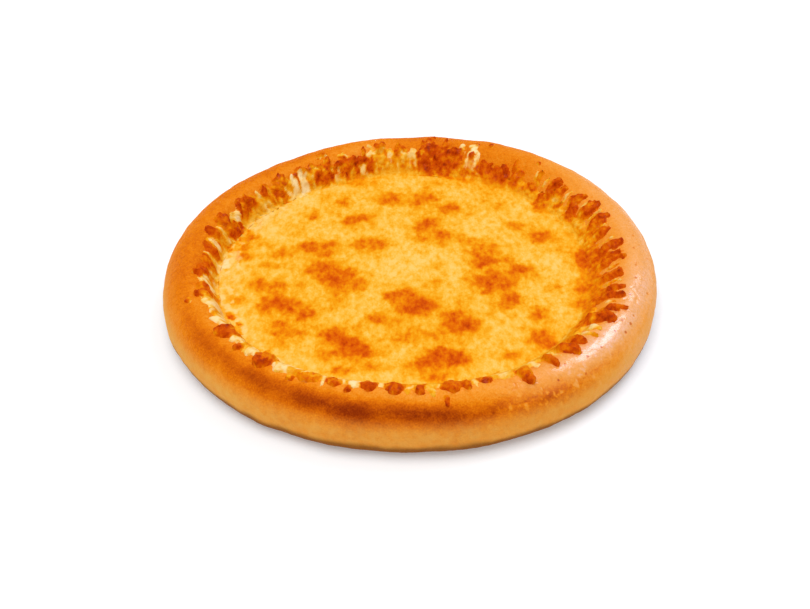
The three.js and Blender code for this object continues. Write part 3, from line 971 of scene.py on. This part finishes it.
    def crag_fields(self, azimuth: Array, radius: Array, points: Array) -> tuple[Array, Array, Array]:
        """Adds up the crags.

        Args:
            azimuth: Azimuth of each vertex.
            radius: Radius of each vertex.
            points: Place of each vertex, flat.

        Returns:
            How high the crags stand at each vertex, below 0 where there is none, how brown they are
            and how pale.
        """
        noise, rugged = self.noise, self.ruggedness.at(azimuth)
        shift, push = (
            rugged * coarse.at(noise, points) + fine.at(noise, points)
            for coarse, fine in (self.side_wander, self.tip_wander)
        )
        rough = (0.3 + 0.7 * rugged) * self.lumps.at(noise, points)
        height = np.full(len(radius), -self.sunk)
        plain, pale = np.ones(len(radius)), np.zeros(len(radius))
        for crag in CRAGS:
            half = math.radians(crag.half_width) * (crag.inner + crag.tip) / 2
            side = np.radians(turn_between(azimuth, crag.azimuth)) * radius
            near = np.abs(side) < half + self.crag_margin
            warp = min(1.0, half / 3)
            across = (side[near] + shift[near] * warp) / half
            along = (radius[near] + push[near] * warp - crag.inner) / (crag.tip - crag.inner)
            lumpy = rough[near]
            girth = np.sqrt(1 - np.clip(along, 0, 1) ** self.crag_bluntness)
            body = 1 - (np.abs(across) / np.maximum(girth, 0.08)) ** 2
            body = np.where((along > 0) & (along < 1), np.maximum(body, 0), 0)
            rise = np.sqrt(body) * smooth(0, 0.65, along) * (0.9 + 0.45 * lumpy)
            lift = crag.lift * (self.pale_lift if crag.brown < 0 else self.brown_lift)
            height[near] = np.maximum(height[near], (self.sunk + lift) * rise - self.sunk)
            if crag.brown < 0:
                soft = smooth(0, 0.8, body) * smooth(0, 0.6, along) * (0.6 + 1.2 * lumpy)
                pale[near] = np.maximum(pale[near], -crag.brown * np.clip(soft, 0, 1))
            else:
                # Browner towards the tip: partly a burnt tip, partly painted shade on the lump's outer,
                # lower side.
                burnt = smooth(0, 0.35, along) * (0.2 + 0.8 * smooth(0.25, 0.9, along) + 0.7 * lumpy)
                flank = smooth(-0.1, 0.4, 1 - across**2) * smooth(1.08, 0.94, along)
                plain[near] *= 1 - np.clip(crag.brown * flank * burnt, 0, 0.95)
        return height, 1 - plain, pale * plain

    def toasting(self, points: Array) -> Array:
        """Says how far each place of the flat top has browned.

        Args:
            points: Place of each vertex, flat.

        Returns:
            The toast, from 0 for none to 1 for dark.
        """
        x, y = (points[:, i] + ripple.at(self.noise, points) for i, ripple in enumerate(self.spot_wander))
        plain, tone = np.ones(len(points)), np.zeros(len(points))
        for spot in SPOTS:
            away = np.hypot((x - spot.x) / spot.half_x, (y - spot.y) / spot.half_y)
            if spot.brown < 0:
                tone += spot.brown * bell(away, 0, 1)
            else:
                core, halo = 1 - smooth(0.3, 1.25, away), bell(away, 0, self.spot_halo)
                fade = 0.55 * core + 0.45 * halo
                plain *= 1 - spot.brown * fade
        return self.plain_toast + self.spot_toast * (1 - plain) + tone

    def slope_of_dough(self, azimuth: Array, radius: Array, step: float = 1.4) -> Array:
        """Gives how steeply the dough rises outwards, over a step to each side."""
        rise = self.form.top_height(azimuth, radius + step) - self.form.top_height(azimuth, radius - step)
        return rise / (2 * step)

    def build(self) -> Object:
        """Builds and dresses the cheese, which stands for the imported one.

        Returns:
            The cheese.
        """
        form, noise = self.form, self.noise
        shape = bmesh.new()
        steps = 2 * self.rings
        bmesh.ops.create_grid(shape, x_segments=steps, y_segments=steps, size=1.0)
        azimuth, radius = self.spread(shape)
        ring = spokes(azimuth)
        flat = ring * radius[:, None]
        foot, crest = form.slope_foot(azimuth), form.crest_radius(azimuth)
        crag, brown, pale = self.crag_fields(azimuth, radius, flat)
        rugged = self.ruggedness.at(azimuth)
        crumple = (np.abs(self.crumples.at(noise, flat)) - 0.3) * rugged
        zone = smooth(-2, 3, radius - self.crumple_start.at(azimuth))
        edge = foot + (crest - foot) * self.film_reach.at(azimuth) + self.film_wander.at(noise, flat)
        film = (self.film + self.sunk) * smooth(-0.5, 2.5, edge - radius) - self.sunk
        thickness = np.maximum(film, crag)
        thickness += self.crumple_height * crumple * zone * smooth(-0.3, 0.8, thickness)
        thickness += self.foot_swells.at(noise, flat) * bell(radius, foot, self.foot_width)
        steepness = self.slope_of_dough(azimuth, radius)
        lean = 1 / np.hypot(1, steepness)
        points = flat - ring * (thickness * steepness * lean)[:, None]
        points[:, 2] = form.top_height(azimuth, radius) + thickness * lean
        toast = self.toasting(flat)
        level = form.cheese_level + sum(swell.at(noise, flat) for swell in self.level_swells)
        level += 0.3 * toast + 1.4 * crumple * zone
        above = points[:, 2] - level
        lifted = level + (above + np.hypot(above, self.level_blend)) / 2 - 0.15
        points[:, 2] = np.where(radius < crest, np.maximum(lifted, points[:, 2]), points[:, 2])
        on_slope = smooth(-1.0, 4.0, above) * (radius < crest + 8)
        cream = 0.8 * self.creaminess.at(azimuth) * zone * (1 - smooth(0.1, 0.45, brown))
        # Painted light: cream gathers on the crumples' ridges.
        cream *= smooth(-0.2, 0.5, self.cream_patches.at(noise, flat) + 0.5 * crumple)
        cream *= 0.6 + 0.4 * on_slope
        cream = np.maximum(cream, pale)
        # Painted light and shade: the crumples' ridges are less toasted and their hollows more.
        slope_toast = self.slope_toast.at(azimuth) - 0.45 * crumple * zone
        base = toast * (1 - on_slope) + slope_toast * on_slope
        # Painted shade, with some toast: the flat darkens near the slope's foot.
        at_foot = bell(radius - foot, self.foot_toast_and_shade_at, self.foot_toast_and_shade_width)
        base += self.foot_toast_and_shade.at(azimuth) * at_foot * (1 - base)
        browned = base + (self.crag_toast - base) * brown
        drops = smooth(0.0, 0.6, self.drops.at(noise, flat))
        place_vertices(shape, points)
        hidden = np.zeros(self.close_below(shape))
        tops = {
            "toast": browned * (1 - np.clip(1.4 * cream, 0, 1)),
            "cream": np.clip(cream, 0, 1),
            "oil": zone * (0.1 + 0.6 * drops) * self.oiliness.at(azimuth),
        }
        fields = {name: np.concatenate([values, hidden]) for name, values in tops.items()}
        piece = finish_mesh("melted_cheese", shape, fields, [])
        piece.data.materials.append(self.finish.make())
        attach(piece, BODY)
        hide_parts("cheese")
        return piece

    def close_below(self, shape: BMesh) -> int:
        """Closes the cheese with a hidden underside that follows the dough from just within it.

        Args:
            shape: The cheese's top.

        Returns:
            How many vertices this adds.
        """
        before = len(shape.verts)
        edges = [edge for edge in shape.edges if edge.is_boundary]
        for radius in self.hidden_radii:
            drawn = bmesh.ops.extrude_edge_only(shape, edges=edges)["geom"]
            lower = [item for item in drawn if isinstance(item, BMVert)]
            azimuth = np.array([math.degrees(math.atan2(v.co.y, v.co.x)) for v in lower])
            level = self.form.top_height(azimuth, np.full(len(lower), radius)) - self.sunk
            for vertex, turn, height in zip(lower, np.radians(azimuth), level):
                vertex.co = Vector((radius * math.cos(turn), radius * math.sin(turn), height)) * MM
            edges = [item for item in drawn if isinstance(item, BMEdge) and item.is_boundary]
        bmesh.ops.edgeloop_fill(shape, edges=edges)
        return len(shape.verts) - before


class Lamp(Enum):
    """The studio's two broad lamps: azimuth, elevation, spread in degrees, strength and colour."""

    OVERHEAD = (228.0, 77.0, 50.0, 1.6, "#FFFFFF")
    KEY = (46.0, 46.0, 26.0, 0.78, "#DFE9FF")


@dataclass(frozen=True)
class Studio:
    """A plain pale floor, an even sky, a broad overhead lamp and a softer key from right behind."""

    floor_half: float = 6.0
    floor_drop: float = 0.0003
    floor_colour: str = "#E6E9EC"
    floor_roughness: float = 0.9
    floor_glow: float = 0.25
    sky: str = "#FFFFFF"
    sky_strength: float = 0.49
    view_elevation: float = 36.79
    view_distance: float = 0.84
    view_target: tuple[float, float, float] = (-0.00391, -0.00831, 0.0)
    lens: float = 65.29
    sensor: float = 36.0

    def lay_floor(self) -> None:
        """Lays the pale floor that the pizza rests on."""
        shape = bmesh.new()
        bmesh.ops.create_grid(shape, x_segments=1, y_segments=1, size=self.floor_half)
        mesh = bpy.data.meshes.new("floor")
        shape.to_mesh(mesh)
        shape.free()
        floor = add_object("floor", mesh)
        floor.location.z = -self.floor_drop
        material, tree, shader = new_material("matte_white_floor")
        looks = {
            "Base Color": linear(self.floor_colour),
            "Roughness": self.floor_roughness,
            "Specular IOR Level": 0.0,
            "Emission Color": linear(self.sky),
            "Emission Strength": self.floor_glow,
        }
        set_inputs(tree, shader, looks)
        mesh.materials.append(material)

    def light(self) -> None:
        """Sets the even sky and the two broad lamps."""
        world = bpy.data.worlds.new("even_sky")
        world.use_nodes = True
        sky = {"Color": linear(self.sky), "Strength": self.sky_strength}
        set_inputs(world.node_tree, world.node_tree.nodes["Background"], sky)
        bpy.context.scene.world = world
        for lamp in Lamp:
            azimuth, elevation, spread, strength, colour = lamp.value
            light = bpy.data.lights.new(lamp.name.lower(), "SUN")
            light.color = linear(colour)[:3]
            light.angle = math.radians(spread)
            light.energy = strength
            holder = add_object(light.name, light)
            holder.rotation_euler = (0, math.radians(90 - elevation), math.radians(azimuth))

    def aim_camera(self) -> None:
        """Sets the camera to the photograph's angle, distance and framing."""
        lens = bpy.data.cameras.new("camera")
        lens.lens = self.lens
        lens.sensor_width = self.sensor
        lens.sensor_fit = "HORIZONTAL"
        lens.clip_start = 0.01
        camera = add_object("camera", lens)
        elevation = math.radians(self.view_elevation)
        back = Vector((0, -math.cos(elevation), math.sin(elevation)))
        camera.location = Vector(self.view_target) + back * self.view_distance
        camera.rotation_euler = (math.pi / 2 - elevation, 0, 0)
        bpy.context.scene.camera = camera

    def set_up(self) -> None:
        """Sets the whole studio, with colours shown as they are lit."""
        self.aim_camera()
        self.lay_floor()
        self.light()
        bpy.context.scene.view_settings.view_transform = "Standard"


def main() -> None:
    """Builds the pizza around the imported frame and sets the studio."""
    logging.basicConfig(level=logging.INFO, format="%(name)s: %(message)s")
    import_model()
    form = PizzaForm.from_frame()
    for part in (Crust(form, GradientNoise(4)), CheeseLayer(form, GradientNoise(9))):
        piece = part.build()
        LOG.info("%s: %d vertices, %d faces", piece.name, len(piece.data.vertices), len(piece.data.polygons))
    Studio().set_up()


if __name__ == "__main__":
    main()
